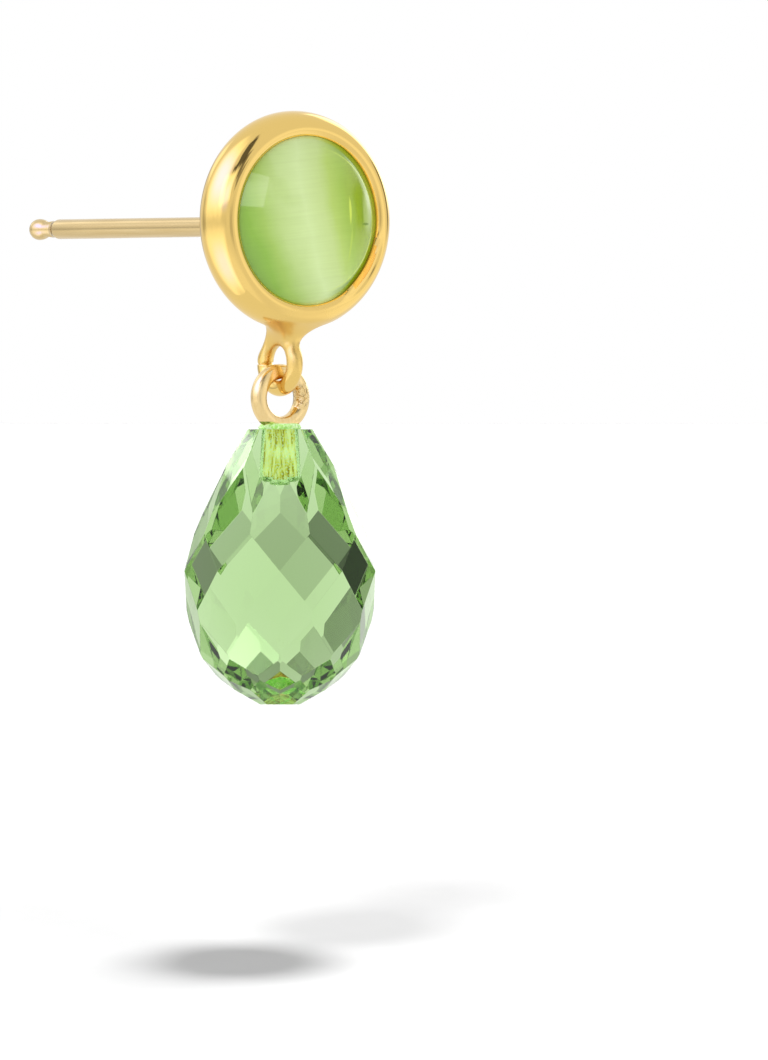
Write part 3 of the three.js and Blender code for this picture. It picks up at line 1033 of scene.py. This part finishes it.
stoneSizes = {
    "girdleRadius": stoneHigh.x / mm,
    "apex": -stoneLow.y / mm,
    "base": -stoneHigh.y / mm,
    "domeRadius": 4.54,
    "chamfer": 0.1,
    "domeSteps": 24,
    "columns": 96,
}


def makeCabochon():
    girdle, apex, base = stoneSizes["girdleRadius"], stoneSizes["apex"], stoneSizes["base"]
    dome, chamfer = stoneSizes["domeRadius"], stoneSizes["chamfer"]
    edge = math.degrees(math.asin(girdle / dome))
    domeArc = arc((0, dome - apex), (dome, dome), -90, -90 + edge, stoneSizes["domeSteps"])
    girdleTop = domeArc[-1][1] + chamfer
    profile = domeArc + [(girdle, girdleTop), (girdle, -base - chamfer)]
    profile += [(girdle - chamfer, -base), (0, -base)]
    centre = Vector((0, 0, bezelSizes["centreHeight"])) * mm
    bm = bmesh.new()
    spinProfile(bm, profile, centre, (0, 1, 0), stoneSizes["columns"])
    shadeSmooth(bm)
    addPiece("cats_eye_cabochon", bm, [catsEye], "setting", "cabochon", "stone")


makeCabochon()
print("cabochon made")

eyeSizes = {
    "wireRadius": 0.2875,
    "ringRadius": 0.9625,
    "squareness": 0.8,  # 1 is round, less is squarer
    "columns": 36,
    "sides": 16,
}


def makeEye():
    wire, ring = eyeSizes["wireRadius"], eyeSizes["ringRadius"]
    centre = eyeTop - Vector((0, 0, (wire + ring) * mm))
    # a round wire that was pressed a little flat
    section = [
        [math.copysign(abs(part) ** eyeSizes["squareness"], part) * wire for part in point]
        for point in arc((0, 0), (1, 1), 0, 360, eyeSizes["sides"])[:-1]
    ]
    bm = bmesh.new()
    spinRing(bm, centre, (0, 1, 0), ring, section, eyeSizes["columns"])
    shadeSmooth(bm)
    piece = addPiece("eye_ring", bm, [wireGold], "drop", "eye_pin", "gold")
    smoothSurface(piece)


pegSizes = {
    "radius": 0.43,
    "ribs": 9,
    "ribDepth": 0.14,  # of the radius
    "levels": 12,
    "twist": 1.6,  # degrees a level
}


def makePeg():
    # the ribbed peg under the eye, glued into the drop
    top, bottom, levels = dropHigh.z, eyeLow.z, pegSizes["levels"]
    bm = bmesh.new()
    disc = bmesh.ops.create_circle(
        bm, cap_ends=True, segments=pegSizes["ribs"] * 4, radius=pegSizes["radius"] * mm
    )
    bmesh.ops.translate(bm, verts=bm.verts, vec=(0, pivot.y, bottom))
    grooves = [vert for i, vert in enumerate(disc["verts"]) if i % 4 in (1, 2)]
    shrink = 1 - pegSizes["ribDepth"]
    bmesh.ops.scale(bm, verts=grooves, vec=(shrink, shrink, 1), space=Matrix.Translation((0, -pivot.y, 0)))
    face = bm.faces[:][0]
    turn = Matrix.Rotation(math.radians(pegSizes["twist"]), 3, "Z")
    for _ in range(levels):
        face = bmesh.ops.extrude_discrete_faces(bm, faces=[face])["faces"][0]
        bmesh.ops.translate(bm, verts=face.verts, vec=(0, 0, (top - bottom) / levels))
        bmesh.ops.rotate(bm, verts=face.verts, cent=(0, pivot.y, 0), matrix=turn)
    bmesh.ops.holes_fill(bm, edges=bm.edges[:], sides=0)
    shadeSmooth(bm)
    addPiece("ribbed_peg", bm, [pegGold], "drop", "eye_pin", "gold")


dropSizes = {
    "edge": 0.012,  # mm, the polish along every edge
    "holeRadius": 0.54,
    "holeDepth": 2.32,
    "holeRound": 0.3,  # mm, the drill's rounded tip
    "wallRows": 4,
    "roundRows": 5,
    "cuts": 3,  # in each of the table's sides
}


def cutFacets():
    # the solid's own flats, without the hole and with a narrow polish along every edge
    centre = Vector((0, pivot.y))
    bm = bmesh.new()
    bm.from_mesh(frame["nodes"]["briolette"].data)
    bmesh.ops.remove_doubles(bm, verts=bm.verts, dist=mm * 1e-3)
    nearHole = dropSizes["holeRadius"] * 1.1 * mm
    hole = [vert for vert in bm.verts if (vert.co.xy - centre).length < nearHole]
    bmesh.ops.delete(bm, geom=hole, context="VERTS")
    # the hull is drawn round bare corners, so no old face is left under it
    bmesh.ops.delete(bm, geom=bm.edges[:], context="EDGES_FACES")
    bmesh.ops.convex_hull(bm, input=bm.verts)
    bmesh.ops.dissolve_limit(
        bm, angle_limit=math.radians(0.5), verts=bm.verts, edges=bm.edges, use_dissolve_boundaries=False
    )
    print("drop has", len(bm.faces), "flats and", len(bm.verts), "corners")
    width = {"offset": dropSizes["edge"] * mm, "offset_type": "WIDTH"}
    bmesh.ops.bevel(bm, geom=bm.edges[:], affect="EDGES", segments=1, profile=0.5, material=-1, **width)
    return bm


def drillHole(bm):
    # opens the table and draws the hole down to a round bottom; its wall is the second material
    radius, tip = dropSizes["holeRadius"], dropSizes["holeRound"]
    straight, rows = dropSizes["holeDepth"] - tip, dropSizes["wallRows"]
    table = max(bm.faces, key=lambda face: face.calc_center_median().z)
    rim = list(table.edges)
    bmesh.ops.delete(bm, geom=[table], context="FACES_ONLY")
    bmesh.ops.subdivide_edges(bm, edges=rim, cuts=dropSizes["cuts"])
    rimEdges = openEdges(bm)
    circle = bmesh.ops.create_circle(bm, segments=len(rimEdges), radius=radius * mm)
    bmesh.ops.translate(bm, verts=circle["verts"], vec=(0, pivot.y, dropHigh.z))
    circleEdges = [edge for edge in bm.edges if edge.is_wire]
    bmesh.ops.bridge_loops(bm, edges=rimEdges + circleEdges)
    wallEdges = openEdges(bm)
    path = [(radius, -straight * i / rows) for i in range(1, rows + 1)]
    path += arc((radius - tip, -straight), (tip, tip), 0, -90, dropSizes["roundRows"])[1:]
    centre = Vector((0, pivot.y))
    ground = []
    for reach, level in path:
        grown = bmesh.ops.extrude_edge_only(bm, edges=wallEdges)["geom"]
        corners = set(ofKind(grown, bmesh.types.BMVert))
        wallEdges = [edge for edge in ofKind(grown, bmesh.types.BMEdge) if corners.issuperset(edge.verts)]
        ground += ofKind(grown, bmesh.types.BMFace)
        for vert in corners:
            outward = (vert.co.xy - centre).normalized()
            vert.co = (*(centre + outward * reach * mm), dropHigh.z + level * mm)
    ground += bmesh.ops.contextual_create(bm, geom=wallEdges)["faces"]
    bmesh.ops.recalc_face_normals(bm, faces=bm.faces)
    for face in ground:
        face.smooth = True
        face.material_index = 1


def makeDrop():
    bm = cutFacets()
    drillHole(bm)
    addPiece("green_briolette", bm, [cutGlass, drilledGlass], "drop", "briolette", "drop")


glueSizes = {
    "outline": [(0, 0.003), (0.74, 0.003), (0.77, 0.07), (0.72, 0.18), (0.6, 0.21), (0.3, 0.14), (0, 0.13)],
    "chips": 0.05,  # of the radius
    "chipWaves": [(3, 1, 0.6), (8, 0, 0.5), (13, 2, 0.4)],
    "columns": 40,
}


def makeGlue():
    # the collar of glue round the mouth of the hole
    bm = bmesh.new()
    mouth = Vector((0, pivot.y, dropHigh.z))
    spinProfile(bm, glueSizes["outline"], mouth, (0, 0, 1), glueSizes["columns"])
    for vert in bm.verts:
        turn = math.atan2(vert.co.y - mouth.y, vert.co.x)
        grow = 1 + glueSizes["chips"] * unevenness(turn, glueSizes["chipWaves"])
        vert.co.x *= grow
        vert.co.y = mouth.y + (vert.co.y - mouth.y) * grow
    shadeSmooth(bm)
    addPiece("glue_collar", bm, [glue], "drop", "briolette", "drop")


makeEye()
makePeg()
makeDrop()
makeGlue()
print("drop made")
